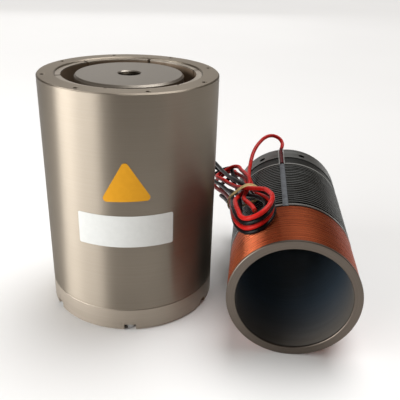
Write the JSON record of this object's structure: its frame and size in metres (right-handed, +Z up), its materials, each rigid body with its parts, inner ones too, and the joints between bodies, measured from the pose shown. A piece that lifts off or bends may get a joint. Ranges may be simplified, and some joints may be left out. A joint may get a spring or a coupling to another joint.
{
  "type": "cylindrical voice coil motor",
  "caption": "Upright magnet stator with a ring-shaped air gap, and its moving coil laid beside it: copper winding, finned sleeve, vented cap and two leads tied in a hank.",
  "frame": {"origin": "centre of the stator's underside", "axes": "+Z up along the stator's axis, +X from the stator towards the coil that lies beside it, +Y along the coil from its open end to its cap"},
  "size_m": [0.16, 0.1296, 0.1205],
  "materials": {
    "plated_steel": "turned and nickel plated",
    "magnet": "bright nickel plated",
    "core_steel": "satin turned",
    "screw_steel": "bright zinc",
    "dark_former": "satin dark lacquer",
    "end_ring": "satin turned",
    "insulation": "clear amber film",
    "copper": "enamelled wire under clear resin",
    "bright_flange": "satin",
    "fins": "dark anodised, crests worn lighter",
    "collar": "satin",
    "cap": "satin turned",
    "sleeving": "satin grey sleeving",
    "guide": "satin",
    "red_wire": "glossy sheath",
    "black_wire": "glossy sheath",
    "band": "matt natural rubber"
  },
  "bodies": {
    "stator": {"stator_sleeve": "plated_steel", "magnet_row_upper": "magnet", "magnet_row_middle": "magnet", "magnet_row_lower": "magnet", "core": "core_steel", "base_plate": "plated_steel", "base_screws": "screw_steel", "core_screws": "screw_steel", "core_dowels": "screw_steel"},
    "coil": {"coil_former": "dark_former", "end_ring": "end_ring", "winding_insulation": "insulation", "copper_winding": "copper", "winding_stop": "bright_flange", "finned_sleeve": "fins", "collar": "collar", "rear_cap": "cap", "red_lead_sleeving": "sleeving", "black_lead_sleeving": "sleeving", "red_lead_guide": "guide", "black_lead_guide": "guide", "red_lead": "red_wire", "black_lead": "black_wire", "lead_hank": "red_wire", "rubber_band": "band"}
  },
  "joints": [
    {"name": "coil_stroke", "type": "slide", "parent": "stator", "child": "coil", "axis": [0, 1, 0], "range_m": [0, 0.056]}
  ]
}
